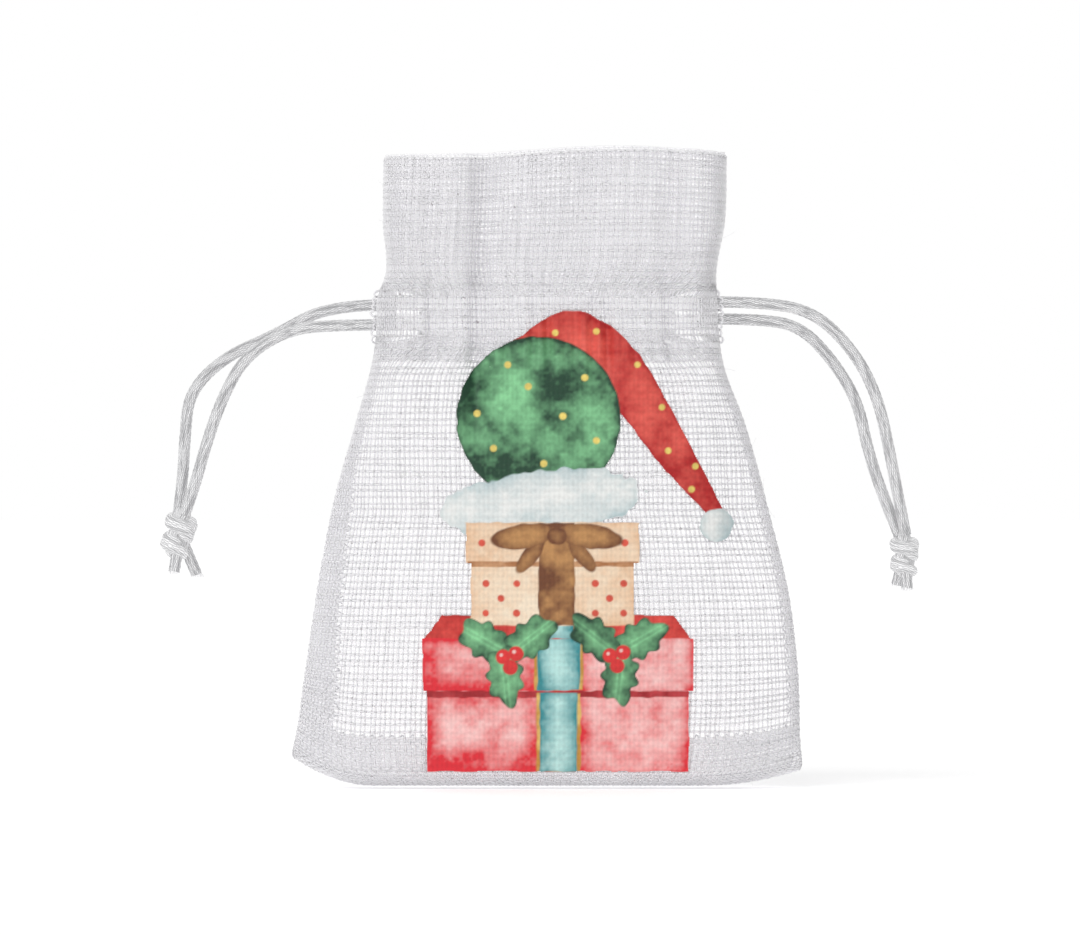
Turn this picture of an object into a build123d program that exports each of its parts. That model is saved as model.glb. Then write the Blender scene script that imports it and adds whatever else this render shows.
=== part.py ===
"""Small drawcord gift sack of open-weave cloth, standing on its bottom seam.

Millimetres, +Z up, the front faces -Y, and the origin is the middle of the bottom.
Two panels are sewn along both sides and the bottom. Their tops are folded down inside as
facings, and two rows of stitches make a casing round the neck. Two drawcords run through
the casing, one out of each side slot, and each ends in an overhand knot.
"""
from build123d import *
from math import radians, sqrt, tan, pi
import os

os.makedirs("parts", exist_ok=True)

# ---------------------------------------------------------------- driving dimensions
height = 100.0              # floor to the fold at the top of the header
bottom_width = 80.0         # across the two bottom corners
neck_width = 53.0           # across the gathered neck
belly_depth = 28.0          # front to back at the fullest place
cloth = 0.5                 # one ply
clearance = 0.25            # between a cord and the ply beside it

casing_low = 68.4           # lower row of stitches
casing_high = 78.5          # upper row of stitches
slot_low, slot_high = 69.6, 77.9

cord = 1.8                  # diameter of a drawcord
run_y = 4.2                 # a cord's run in the casing, from the middle plane
channel = cord + 2 * clearance
neck_depth = 2 * (run_y + cord / 2 + clearance + cloth)
slot_x = 25.3               # where the cords leave the slots, left and right of the middle
panel_lip = 24.4            # the slots' lips in the panels
facing_lip = 20.5           # and in the facings, where the cords turn

stitch_pitch = 2.6
stitch_length = 2.0
thread = 0.34

bottom_fold = 8.0           # bottom allowance's height on the front panel
left_allowance = 7.0
right_allowance = 2.5
film = 0.12                 # transfer film of the print

# ---------------------------------------------------------------- the sack's sections
# Each section has a height, a half width, a shift along X, a half depth and the half length
# of its straight middle, which ends in quarter ellipses at the side seams.
floor_half_depth = 6.0
neck_half = neck_width / 2
foot_sections = [
    (0.0, 31.0, 1.0, floor_half_depth, 20.0),
    (1.4, 36.5, 0.4, 7.6, 20.0),
    (4.5, bottom_width / 2, 0.0, 9.6, 19.0),
]
body_sections = [
    foot_sections[-1],
    (16.0, 38.9, 0.6, 12.8, 12.0),
    (30.0, 37.0, 0.8, belly_depth / 2, 9.0),
    (44.0, 34.0, 0.4, 12.8, 10.0),
    (57.0, 30.4, 0.4, 9.2, 14.0),
    (66.5, 27.4, 0.0, 6.4, 20.0),
]
neck_sections = [
    body_sections[-1],
    (69.0, 26.8, 0.0, neck_depth / 2, 24.4),
    (71.0, neck_half, 0.0, neck_depth / 2, 24.8),
    (77.0, 26.2, 0.0, neck_depth / 2, 24.8),
    (78.1, 26.0, 0.4, neck_depth / 2, 23.4),
    (89.0, 26.7, 1.0, 6.2, 20.0),
    (height, 26.8, 1.2, 6.6, 19.0),
]


def half_section(section, inset):
    """Sketch of the front half of the sack at one height, drawn in by the inset."""
    level, half_width, shift, half_depth, straight = section
    half_width, half_depth = half_width - inset, half_depth - inset
    straight = min(straight, half_width - 1.0)
    end = half_width - straight
    with BuildSketch(Plane.XY.offset(level)) as face:
        with BuildLine():
            left = EllipticalCenterArc((shift - straight, 0), end, half_depth, 180, arc_size=90)
            right = EllipticalCenterArc((shift + straight, 0), end, half_depth, 270, arc_size=90)
            Line(left @ 1, right @ 0)
            Line(right @ 1, left @ 0)
        make_face()
    return face.sketch


def loft_front(sections, inset=0.0, ruled=True):
    """Solid between the front halves of the sections, drawn in by the inset."""
    return loft([half_section(section, inset) for section in sections], ruled=ruled)


def raised(sections, lift):
    """The sections of the foot, with the lowest one lifted off the floor."""
    first = sections[0]
    second = sections[1]
    return [(first[0] + lift,) + first[1:], (second[0] + lift / 2,) + second[1:]] + sections[2:]


def add_front_solid(inset=0.0, mode=Mode.ADD):
    """The front half of the whole sack as one solid, or the cavity inside one or more plies."""
    foot = raised(foot_sections, inset) if inset > 0 else foot_sections
    body = loft_front(body_sections, inset, ruled=False)
    neck = loft_front(neck_sections, inset)
    for piece in (loft_front(foot, inset), body, neck):
        add(piece, mode=mode)


def cut_slots(lip):
    """Opens the side seams at the casing, beyond the lips, where the cords come out."""
    gape = 2 * (run_y + cord / 2 + clearance)
    reach = bottom_width / 2 - lip
    for side in (-1, 1):
        with Locations((side * (lip + reach / 2), 0, (slot_high + slot_low) / 2)):
            Box(reach, gape, slot_high - slot_low, mode=Mode.SUBTRACT)


def save(solid, label):
    """Labels a finished sub-part and writes it."""
    solid.label = label
    export_step(solid, f"parts/{label}.step")


# ---------------------------------------------------------------- cloth
with BuildPart() as front_panel:
    add_front_solid()
    add_front_solid(cloth, mode=Mode.SUBTRACT)
    cut_slots(panel_lip)
save(front_panel.part, "front_panel")

with BuildPart() as back_panel:
    add(front_panel.part)
    mirror(about=Plane.XZ, mode=Mode.REPLACE)
save(back_panel.part, "back_panel")


# The facing lies against the panel above and below the casing, and stands off it between
# the two rows of stitches to leave the channel for the cords.
flush = 0.15
facing_gaps = [flush, flush, channel, channel, flush, flush, flush]


def loft_facing(extra):
    """Front half of the neck inside the facing's outer face, drawn in further by extra."""
    faces = []
    for section, gap in zip(neck_sections, facing_gaps):
        faces.append(half_section(section, cloth + gap + extra))
    return loft(faces, ruled=True)


with BuildPart() as front_facing:
    add(loft_facing(0))
    add(loft_facing(cloth), mode=Mode.SUBTRACT)
    cut_slots(facing_lip)
save(front_facing.part, "front_facing")

with BuildPart() as back_facing:
    add(front_facing.part)
    mirror(about=Plane.XZ, mode=Mode.REPLACE)
save(back_facing.part, "back_facing")

# The bottom seam's two raw edges are folded forward along the floor and up the front panel.
with BuildPart() as bottom_allowance:
    add_front_solid(cloth + flush)
    add_front_solid(2 * cloth + flush, mode=Mode.SUBTRACT)
    with Locations((0, -belly_depth / 4 - 0.8, 0)):
        Box(2 * 34.0, belly_depth / 2, 2 * (bottom_fold + cloth), mode=Mode.INTERSECT)
save(bottom_allowance.part, "bottom_allowance")


def side_line(side, inset):
    """Points up one side seam between the bottom fold and the casing, drawn in by the inset."""
    return [
        (shift + side * (half_width - inset), level)
        for level, half_width, shift, half_depth, straight in body_sections[1:]
    ]


# Each side seam's two raw edges lie together against the inside of the front panel.
allowance_ply = cloth + flush


def side_strip(side, width):
    """Both plies of one side's allowance, pressed against the front panel."""
    edge_line = side_line(side, 0)
    free_line = side_line(side, allowance_ply + width)
    with BuildPart() as strip:
        add(loft_front(body_sections, allowance_ply, ruled=False))
        add(loft_front(body_sections, allowance_ply + 2 * cloth, ruled=False), mode=Mode.SUBTRACT)
        with BuildSketch(Plane.XZ.offset(0.3)):
            with BuildLine():
                edge = Spline(*edge_line)
                free = Spline(*free_line)
                Line(edge @ 0, free @ 0)
                Line(edge @ 1, free @ 1)
            make_face()
        extrude(amount=belly_depth, mode=Mode.INTERSECT)
    return strip.part


for name, side, width in (("left", -1, left_allowance), ("right", 1, right_allowance)):
    save(side_strip(side, width), f"{name}_allowance")


# ---------------------------------------------------------------- sewing threads
def between(sections, level):
    """A section's half width, shift, half depth and straight share at any height."""
    for lower, upper in zip(sections, sections[1:]):
        if lower[0] <= level <= upper[0]:
            share = (level - lower[0]) / (upper[0] - lower[0])
            return [a + share * (b - a) for a, b in zip(lower[1:], upper[1:])]


def front_depth(x, level, inset):
    """How far in front of the middle plane the drawn-in front lies at a place."""
    half_width, shift, half_depth, straight = between(body_sections, level)
    past = max(abs(x - shift) - straight, 0) / (half_width - inset - straight)
    return (half_depth - inset) * sqrt(max(1 - past**2, 0))


def casing_row(side, level):
    """One row of stitches across the front (-1) or the back (1) of the neck."""
    half_depth = between(neck_sections, level)[2]
    count = 18
    with BuildPart() as row:
        with Locations((0, side * half_depth, level)):
            with GridLocations(stitch_pitch, 1, count, 1):
                Cylinder(thread / 2, stitch_length, rotation=(0, 90, 0))
                Cylinder(thread / 2, 2 * cloth + 2 * flush + thread, rotation=(90, 0, 0),
                         align=(Align.CENTER, Align.CENTER, Align.MIN if side > 0 else Align.MAX))
    return row.part


for face, side in (("front", -1), ("back", 1)):
    for row_name, level in (("lower", casing_low), ("upper", casing_high)):
        save(casing_row(side, level), f"{row_name}_casing_stitches_{face}")


def up_the_side(side, inset, count):
    """Places up one side allowance, at a distance in from the seam, on its middle ply."""
    low, high = body_sections[1][0] + 2, body_sections[-1][0] - 2
    for step in range(count):
        level = low + (step + 0.5) * (high - low) / count
        half_width, shift, _, _ = between(body_sections, level)
        x = shift + side * (half_width - allowance_ply - inset)
        yield x, -front_depth(x, level, allowance_ply + cloth + thread / 2), level


def side_row(side, inset):
    """Stitches up one side seam, each passing through both plies of the allowance."""
    with BuildPart() as row:
        for place in up_the_side(side, inset, 17):
            with Locations(place):
                Box(thread, 2 * cloth + thread / 2, stitch_length)
    return row.part


def overlock_row(side, inset):
    """Overlock loops round the raw edge of one side allowance."""
    with BuildPart() as row:
        for place in up_the_side(side, inset, 25):
            with Locations(place):
                Box(1.4, 2 * cloth + thread, thread)
    return row.part


for name, side, width in (("left", -1, left_allowance), ("right", 1, right_allowance)):
    save(side_row(side, 1.2), f"{name}_side_stitches")
    save(overlock_row(side, width - 0.3), f"{name}_overlock")

with BuildPart() as bottom_stitches:
    with Locations((1.0, 0, 0)):
        with GridLocations(stitch_pitch, 1, 20, 1):
            Box(stitch_length, 2 * thread, cloth + thread / 2,
                align=(Align.CENTER, Align.CENTER, Align.MIN))
save(bottom_stitches.part, "bottom_stitches")

bottom_edge_half_depth = between(body_sections, bottom_fold)[2] - cloth - flush
with BuildPart() as bottom_overlock:
    with Locations((0.3, -bottom_edge_half_depth + cloth / 2, bottom_fold)):
        with GridLocations(2.2, 1, 14, 1):
            Box(thread, cloth + 1.6 * thread, 1.8)
save(bottom_overlock.part, "bottom_overlock")


# ---------------------------------------------------------------- print
# A transfer film in the outline of its picture: a present, a smaller one on it, and on that
# a bauble in a soft collar, with a streamer that droops to a small pompom.
print_middle = 1.6
motif_gap = 0.03

with BuildPart() as printed_motif:
    for inset, mode in ((-motif_gap - film, Mode.ADD), (-motif_gap, Mode.SUBTRACT)):
        add(loft_front(foot_sections, inset), mode=mode)
        add(loft_front(body_sections, inset, ruled=False), mode=mode)
        add(loft_front(neck_sections, inset), mode=mode)
    with BuildSketch(Plane.XZ):
        with Locations((print_middle, 8.9)):
            Rectangle(40.8, 12.6)
        with Locations((print_middle, 19.35)):
            Rectangle(42.2, 8.3)
        with Locations((print_middle, 25.3)):
            Trapezoid(42.2, 3.7, 54, 54)
        with Locations((0.8, 33.5)):
            Rectangle(27.0, 16.0)
        with Locations((-1.0, 44.6)):
            Ellipse(15.6, 5.0, rotation=7)
        with Locations((-1.4, 57.6)):
            Circle(12.8)
        with BuildLine():
            upper = Spline((-6.0, 71.0), (3.0, 74.4), (14.0, 68.0), (21.0, 56.0), (27.4, 43.4))
            lower = Spline((-6.0, 67.0), (4.0, 66.0), (10.0, 60.0), (17.0, 51.0), (25.2, 42.2))
            Line(upper @ 0, lower @ 0)
            Line(upper @ 1, lower @ 1)
        make_face()
        with Locations((26.3, 41.0)):
            Circle(2.7)
    extrude(amount=belly_depth, mode=Mode.INTERSECT)
save(printed_motif.part, "printed_motif")


# ---------------------------------------------------------------- drawcords
def tube(path_wire, start, direction):
    """A cord's round section carried along its path."""
    with BuildPart() as piece:
        with BuildSketch(Plane(origin=start, z_dir=direction)):
            Circle(cord / 2)
        sweep(path=path_wire)
    return piece.part


def casing_loop(side, front_level, back_level):
    """A cord's two runs in the casing, with its turn at the slot on the far side."""
    near = side * slot_x
    turn = -side * 20.6
    with BuildLine() as path:
        front = Line((near, -run_y, front_level), (turn, -run_y, front_level))
        back_start = (turn, run_y, back_level)
        radius = (Vector(*back_start) - front @ 1).length / 2
        middle = (turn - side * radius, 0, (front_level + back_level) / 2)
        ThreePointArc(front @ 1, middle, back_start)
        Line(back_start, (near, run_y, back_level))
    return tube(path.wire(), (near, -run_y, front_level), (-side, 0, 0))


def corner_radii(points):
    """Each bend's radius: 0.45 of the shorter run, over the tangent of half the turn."""
    radii = []
    for before, here, after in zip(points, points[1:], points[2:]):
        arriving, leaving = Vector(*here) - Vector(*before), Vector(*after) - Vector(*here)
        half_turn = radians(arriving.get_angle(leaving)) / 2
        radii.append(0.45 * min(arriving.length, leaving.length) / tan(half_turn))
    return radii


def strand(label, points):
    """A cord's free end, from its slot to the knot."""
    radii = corner_radii(points)
    with BuildLine() as path:
        FilletPolyline(*points, radius=radii)
    piece = tube(path.wire(), points[0], Vector(*points[1]) - Vector(*points[0]))
    length = path.wire().length
    print(label, "length", round(length, 1), "radii", [round(radius, 1) for radius in radii])
    print(label, "volume", round(piece.volume, 2), "section x length",
          round(pi * cord**2 / 4 * length, 2))
    save(piece, label)


left_front_level, left_back_level = 72.3, 75.6
right_front_level, right_back_level = 75.9, 73.4

left_front_route = [
    (-slot_x, -run_y, left_front_level), (-33.0, -run_y, left_front_level), (-40.6, -3.6, 71.6),
    (-47.4, -2.8, 67.4), (-51.0, -2.2, 60.8), (-53.6, -1.6, 53.4), (-55.2, -1.2, 47.4),
    (-56.9, -1.0, 42.6),
]
left_back_route = [
    (-slot_x, run_y, left_back_level), (-34.5, run_y, left_back_level), (-43.0, 3.6, 70.8),
    (-50.8, 2.8, 67.4), (-56.4, 2.2, 61.8), (-57.0, 1.6, 54.4), (-57.3, 1.2, 48.2),
    (-58.0, 1.0, 42.6),
]
right_front_route = [
    (slot_x, -run_y, right_front_level), (33.4, -run_y, right_front_level), (41.8, -3.6, 74.4),
    (48.2, -2.8, 68.0), (51.8, -2.2, 60.8), (53.6, -1.6, 52.6), (54.9, -1.2, 45.8),
    (56.2, -0.9, 39.4),
]
right_back_route = [
    (slot_x, run_y, right_back_level), (32.6, run_y, right_back_level), (39.6, 3.6, 72.4),
    (44.8, 2.8, 67.0), (48.8, 2.2, 60.4), (50.3, 1.6, 52.8), (52.6, 1.2, 45.8),
    (55.2, 0.9, 39.4),
]

save(casing_loop(-1, left_front_level, left_back_level), "left_cord_in_casing")
save(casing_loop(1, right_front_level, right_back_level), "right_cord_in_casing")
strand("left_cord_front_strand", left_front_route)
strand("left_cord_back_strand", left_back_route)
strand("right_cord_front_strand", right_front_route)
strand("right_cord_back_strand", right_back_route)


def knot(centre, width, length, lean):
    """An overhand knot's outer shape: a barrel that leans from the vertical."""
    axis_plane = Plane(origin=centre, x_dir=(1, 0, 0), z_dir=(0, -1, 0))
    with BuildPart() as body:
        with BuildSketch(axis_plane):
            with BuildLine():
                rim = EllipticalCenterArc((0, 0), width / 2, length / 2, -90, arc_size=180)
                Line(rim @ 1, rim @ 0)
            make_face()
        revolve(axis=Axis(centre, (0, 0, 1)))
    return body.part.rotate(Axis(centre, (0, 1, 0)), lean)


left_knot_centre = (-57.9, 0, 39.6)
right_knot_centre = (56.0, 0, 36.3)
save(knot(left_knot_centre, 4.6, 8.4, 8), "left_knot")
save(knot(right_knot_centre, 4.0, 7.6, -6), "right_knot")


def tail(start, end):
    """A cut end of cord below its knot."""
    direction = Vector(*end) - Vector(*start)
    with BuildPart() as piece:
        with BuildSketch(Plane(origin=start, z_dir=direction)):
            Circle(cord / 2)
        extrude(amount=direction.length)
    return piece.part


save(tail((-58.0, -0.9, 37.2), (-58.6, -1.2, 33.4)), "left_front_tail")
save(tail((-56.8, 0.9, 37.2), (-55.0, 1.3, 32.9)), "left_back_tail")
save(tail((56.2, -0.9, 34.4), (56.4, -1.1, 30.8)), "right_front_tail")
save(tail((55.6, 0.9, 34.4), (54.8, 1.3, 31.4)), "right_back_tail")
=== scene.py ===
"""A small gift sack of open white cloth, drawn shut by two satin cords, with a printed picture.

Lengths are in millimetres until a mesh is made. The strands' routes and lengths alone are in metres, as the
part gives them. x is across, z is up and the front faces -y.
"""

import math

import bpy
import numpy as np
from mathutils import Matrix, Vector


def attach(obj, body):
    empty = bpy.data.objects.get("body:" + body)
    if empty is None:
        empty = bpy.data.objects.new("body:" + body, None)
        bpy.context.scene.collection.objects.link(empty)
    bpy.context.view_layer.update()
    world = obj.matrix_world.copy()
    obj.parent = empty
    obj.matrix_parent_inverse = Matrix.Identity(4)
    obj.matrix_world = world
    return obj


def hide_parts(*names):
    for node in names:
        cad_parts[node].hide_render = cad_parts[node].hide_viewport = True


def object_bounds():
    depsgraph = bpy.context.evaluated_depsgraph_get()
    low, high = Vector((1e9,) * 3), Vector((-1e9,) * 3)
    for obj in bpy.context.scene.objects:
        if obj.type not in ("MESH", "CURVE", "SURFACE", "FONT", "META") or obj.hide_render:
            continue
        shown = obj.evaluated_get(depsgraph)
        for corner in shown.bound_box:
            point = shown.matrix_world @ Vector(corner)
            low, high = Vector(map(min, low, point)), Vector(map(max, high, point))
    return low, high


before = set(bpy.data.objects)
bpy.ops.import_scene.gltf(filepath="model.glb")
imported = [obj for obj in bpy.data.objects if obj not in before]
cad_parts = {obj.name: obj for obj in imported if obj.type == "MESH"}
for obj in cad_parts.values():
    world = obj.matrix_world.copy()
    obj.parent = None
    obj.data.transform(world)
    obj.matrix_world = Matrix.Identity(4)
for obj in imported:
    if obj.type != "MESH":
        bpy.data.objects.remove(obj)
cad_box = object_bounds()

MM = 0.001
WHITE = (1.0, 1.0, 1.0)
SACK = "sack"
LEFT_CORD = "left_drawcord"
RIGHT_CORD = "right_drawcord"

# The camera: level, straight in front of the sack, far enough away to flatten the view.
VIEW_CENTRE = (-1.18, 0.0, 50.0)
VIEW_WIDTH = 169.5
VIEW_DISTANCE = 1200.0
SENSOR_WIDTH = 36.0

# The sack, from the seat up: height, half width, shift of its middle, half depth, half its straight part.
SECTIONS = (
    (0.0, 40.1, -0.1, 7.2, 20.0),
    (4.5, 39.5, 0.1, 9.6, 19.0),
    (16.0, 38.7, 0.6, 12.6, 12.0),
    (30.0, 37.0, 0.8, 13.8, 9.0),
    (44.0, 34.0, 0.4, 12.6, 10.0),
    (57.0, 30.4, 0.4, 9.0, 14.0),
    (66.5, 27.4, 0.0, 6.2, 20.0),
    (71.0, 26.7, 0.0, 5.6, 24.0),
    (77.0, 26.4, 0.0, 5.6, 24.0),
    (79.5, 25.9, 0.4, 5.6, 22.0),
    (89.0, 26.7, 1.0, 6.0, 20.0),
    (100.0, 26.8, 1.2, 6.4, 18.0),
)
HEIGHT = 100.0
SEAT_ROUND = 3.0        # how high the cloth takes to turn up from the bottom seam
SEAT_LIFT = 0.25        # half the thickness of the cloth that the sack stands on
CLOTH_WIDTH = 78.0      # the width a panel was cut to
WARP_PITCH = 0.73
WEFT_PITCH = 1.02
WARP_HALF = 0.155       # half a yarn's width
WEFT_HALF = 0.19
YARN_FLATNESS = 0.8
YARN_LIFT = 0.075       # how far a yarn rises over those it crosses
PLY_GAP = 0.36          # from one ply of cloth to the next

CASING_LOW = 68.4       # the two rows of stitches that make the casing
CASING_HIGH = 78.5
SLOT_LOW = 69.6
SLOT_HIGH = 77.9
FACING_END = 66.5       # where the cloth folded inside at the top ends
FACING_SOFT = 12.0      # beyond this the facing is drawn in at the slots, clear of the turning cords
FACING_DRAW = 0.44
CHANNEL_BACK = 2.95     # how far from the middle plane the facing hangs, behind the cords

FILM_LIFT = 0.37        # the printed film over the middle of the cloth

# The folds of the drawn-up cloth. Valleys: where across, how deep, how wide. Waves: length, phase.
MAIN_VALLEY = -10.6     # the deep fold down the front of the header
CREST = 3.0             # how far the neck stands out between its valleys
FRONT_VALLEYS = ((19.0, 0.55, 2.2), (-18.5, 0.3, 2.2))
BACK_VALLEYS = ((7.0, 1.0, 3.0), (-14.0, 0.8, 2.6), (20.0, 0.4, 2.2))
PLEATS = ((2.3, 1.1), (3.1, 0.3), (4.7, 2.1))
PLEAT_DEPTH = 0.25
SWELLS = ((7.9, 4.4), (12.5, 0.8))
SWELL_DEPTH = 0.22
STITCH_DENT = 0.3
# A fold that runs up the cloth: across at the seat, lean, depth, width, from and to what height, how softly.
FRONT_CREASE = (32.92, -0.09, 1.3, 1.6, 34.0, 66.0, 8.0)
BACK_CREASE = (-25.0, 0.0, 0.9, 1.8, 30.0, 64.0, 8.0)
FRONT_RIDGE = (-25.72, 0.03, 0.8, 0.9, 46.0, 94.0, 6.0)

# The bottom corners rise from the floor: side, how far, from where across, over what width.
CORNERS = ((-1, 4.4, 27.0, 13.0), (1, 2.4, 24.0, 15.6))
SLOT_SPREAD = 0.93      # how far the two panels' edges stand apart at the slots
EDGE_FADE = 6.0         # the folds die out this close to the side seams

# How yarns stray from an even weave, in shares of their pitch: each as a whole, and at each crossing.
WARP_OFF, WARP_JITTER = 0.1, 0.05
WEFT_OFF, WEFT_JITTER = 0.09, 0.03

STITCH_SHARE = 0.74     # the part of a stitch's pitch that shows as thread
STITCH_RADIUS = 0.17
STITCH_DIP = 0.34
CASING_STITCHES = 36
BOTTOM_STITCHES = 32
SEAM_PITCH = 2.6
OVERLOCK_RADIUS = 0.12

CORD_RADIUS = 0.9
CORD_PITCH = 7.6        # one turn of its plies
CORD_PLIES = 7
PLY_HOLLOW = 0.89       # the cord's size between two plies, and how much a ply adds
PLY_RIDGE = 0.13
RUN_Y = 4.2             # the cords in the casing, in front of and behind the middle plane
SLOT_X = 25.3
TURN_X = 20.6
LIT_X = 23.6            # past this a loop is out in the light of a slot
CROSSING = (0.47, 0.53)  # the part of a loop's length where it changes level
LOOP_HEIGHTS = {"left": (72.3, 75.6), "right": (75.9, 73.4)}

# The routes of the four free strands, from the slot to the knot, in metres.
ROUTES = {
    "left_front": (
        (-0.0253, -0.0042, 0.0723), (-0.0330, -0.0042, 0.0723), (-0.0406, -0.0036, 0.0716),
        (-0.0474, -0.0028, 0.0674), (-0.0510, -0.0022, 0.0608), (-0.0536, -0.0016, 0.0534),
        (-0.0552, -0.0012, 0.0474), (-0.0569, -0.0010, 0.0426),
    ),
    "left_back": (
        (-0.0253, 0.0042, 0.0756), (-0.0345, 0.0042, 0.0756), (-0.0430, 0.0036, 0.0708),
        (-0.0508, 0.0028, 0.0674), (-0.0564, 0.0022, 0.0618), (-0.0570, 0.0016, 0.0544),
        (-0.0573, 0.0012, 0.0482), (-0.0580, 0.0010, 0.0426),
    ),
    "right_front": (
        (0.0253, -0.0042, 0.0759), (0.0334, -0.0042, 0.0759), (0.0418, -0.0036, 0.0744),
        (0.0482, -0.0028, 0.0680), (0.0518, -0.0022, 0.0608), (0.0536, -0.0016, 0.0526),
        (0.0549, -0.0012, 0.0458), (0.0562, -0.0009, 0.0394),
    ),
    "right_back": (
        (0.0253, 0.0042, 0.0734), (0.0326, 0.0042, 0.0734), (0.0396, 0.0036, 0.0724),
        (0.0448, 0.0028, 0.0670), (0.0488, 0.0022, 0.0604), (0.0503, 0.0016, 0.0528),
        (0.0526, 0.0012, 0.0458), (0.0552, 0.0009, 0.0394),
    ),
}

# The knots and the cut ends below them.
KNOTS = {
    "left": {"centre": (-57.9, 0.0, 39.6), "width": 5.0, "height": 9.0, "lean": 8.0},
    "right": {"centre": (56.0, 0.0, 36.3), "width": 4.5, "height": 8.2, "lean": -6.0},
}
TAILS = {
    "left_front": ((-58.0, -0.9, 37.2), (-58.6, -1.2, 33.4)),
    "left_back": ((-56.8, 0.9, 37.2), (-55.0, 1.3, 32.9)),
    "right_front": ((56.2, -0.9, 34.4), (56.4, -1.1, 30.8)),
    "right_back": ((55.6, 0.9, 34.4), (54.8, 1.3, 31.4)),
}


# ---- numbers

def unit(vectors):
    return vectors / np.maximum(np.linalg.norm(vectors, axis=-1, keepdims=True), 1e-9)


def smooth(place, places, values):
    """Values between given ones, on a curve without corners."""
    places, values = np.asarray(places, float), np.asarray(values, float)
    slopes = np.gradient(values, places)
    place = np.clip(place, places[0], places[-1])
    left = np.clip(np.searchsorted(places, place, side="right") - 1, 0, len(places) - 2)
    span = places[left + 1] - places[left]
    part = (place - places[left]) / span
    return (
        values[left] * (1 + 2 * part) * (1 - part) ** 2
        + slopes[left] * span * part * (1 - part) ** 2
        + values[left + 1] * part**2 * (3 - 2 * part)
        - slopes[left + 1] * span * part**2 * (1 - part)
    )


def ramp(place, low, high):
    """0 below low, 1 above high, and a soft step between."""
    part = np.clip((place - low) / (high - low), 0.0, 1.0)
    return part * part * (3 - 2 * part)


def window(place, low, high, soft):
    """1 from low to high, fading to 0 within soft of them."""
    return ramp(place, low - soft, low + soft) * (1 - ramp(place, high - soft, high + soft))


def hump(place, centre, reach):
    return np.exp(-(((place - centre) / reach) ** 2))


def wander(rng, yarns, steps, every):
    """Smooth random numbers from -1 to 1: how each yarn strays along its length."""
    spans = max(1, steps // every)
    coarse = rng.uniform(-1, 1, (yarns, spans + 1))
    place = np.linspace(0, spans, steps)
    left = np.minimum(place.astype(int), spans - 1)
    part = ramp(place - left, 0.0, 1.0)
    return coarse[:, left] * (1 - part) + coarse[:, left + 1] * part


def bilinear(corner, s, t):
    """A value between four, which corner(0 or 1, 0 or 1) gives, at s and t from 0 to 1."""
    return (
        corner(0, 0) * (1 - s) * (1 - t) + corner(1, 0) * s * (1 - t)
        + corner(0, 1) * (1 - s) * t + corner(1, 1) * s * t
    )


def mottle(x, z, size, seed):
    """A smooth random field from 0 to 1 with spots of the given size."""
    cells = 64
    table = np.random.default_rng(seed).uniform(0, 1, (cells, cells))
    column, row = x / size + cells / 2, z / size + cells / 2
    i, j = np.floor(column).astype(int), np.floor(row).astype(int)
    return bilinear(
        lambda right, up: table[(i + right) % cells, (j + up) % cells],
        ramp(column - i, 0, 1), ramp(row - j, 0, 1),
    )


# ---- meshes

def add_piece(name, shape, material, stands_for=None, body=SACK, colours=None):
    """A mesh that rides on a body. Its shape is points in millimetres, four-cornered faces, perhaps UVs."""
    points, faces, *uv = shape
    mesh = bpy.data.meshes.new(name)
    mesh.vertices.add(len(points))
    mesh.vertices.foreach_set("co", (np.asarray(points) * MM).ravel())
    mesh.loops.add(faces.size)
    mesh.loops.foreach_set("vertex_index", faces.ravel().astype(np.int32))
    mesh.polygons.add(len(faces))
    mesh.polygons.foreach_set("loop_start", np.arange(0, faces.size, 4, dtype=np.int32))
    mesh.update(calc_edges=True)
    mesh.shade_smooth()
    if uv:
        mesh.uv_layers.new(name="along").data.foreach_set("uv", uv[0].ravel())
    if colours is not None:
        layer = mesh.color_attributes.new("paint", "FLOAT_COLOR", "POINT")
        layer.data.foreach_set("color", np.column_stack([colours, np.ones(len(colours))]).ravel())
    mesh.materials.append(material)
    piece = bpy.data.objects.new(name, mesh)
    bpy.context.collection.objects.link(piece)
    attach(piece, body)
    if stands_for:
        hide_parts(stands_for)
    return piece


def face_values(piece, kind):
    """The centre, in metres, or the normal of every face of a piece."""
    values = np.empty((len(piece.data.polygons), 3))
    piece.data.polygons.foreach_get(kind, values.ravel())
    return values


def second_material(piece, material, faces):
    """Gives a second material to the faces that are marked true."""
    piece.data.materials.append(material)
    piece.data.polygons.foreach_set("material_index", faces.astype(np.int32))


def merge(parts):
    """Several (points, faces) pairs as one."""
    points = np.concatenate([part[0] for part in parts])
    starts = np.cumsum([0] + [len(part[0]) for part in parts[:-1]])
    faces = np.concatenate([part[1] + start for part, start in zip(parts, starts)])
    return points, faces


def tubes(centres, side, thick, half_side, half_thick):
    """Closed tubes along rows of centres, (tubes, steps, 3), with four corners on two axes."""
    count, steps = centres.shape[:2]
    angles = np.arange(4) * math.pi / 2
    half_side = np.broadcast_to(half_side, (count, steps))[..., None, None]
    half_thick = np.broadcast_to(half_thick, (count, steps))[..., None, None]
    rings = (
        centres[:, :, None]
        + np.cos(angles)[:, None] * half_side * side[:, :, None]
        + np.sin(angles)[:, None] * half_thick * thick[:, :, None]
    )
    number = np.arange(count * steps * 4).reshape(count, steps, 4)
    turned = np.roll(number, -1, axis=2)
    walls = np.stack([number[:, :-1], turned[:, :-1], turned[:, 1:], number[:, 1:]], axis=-1)
    faces = np.concatenate([walls.reshape(-1, 4), number[:, 0, ::-1], number[:, -1]])
    return rings.reshape(-1, 3), faces


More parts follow.
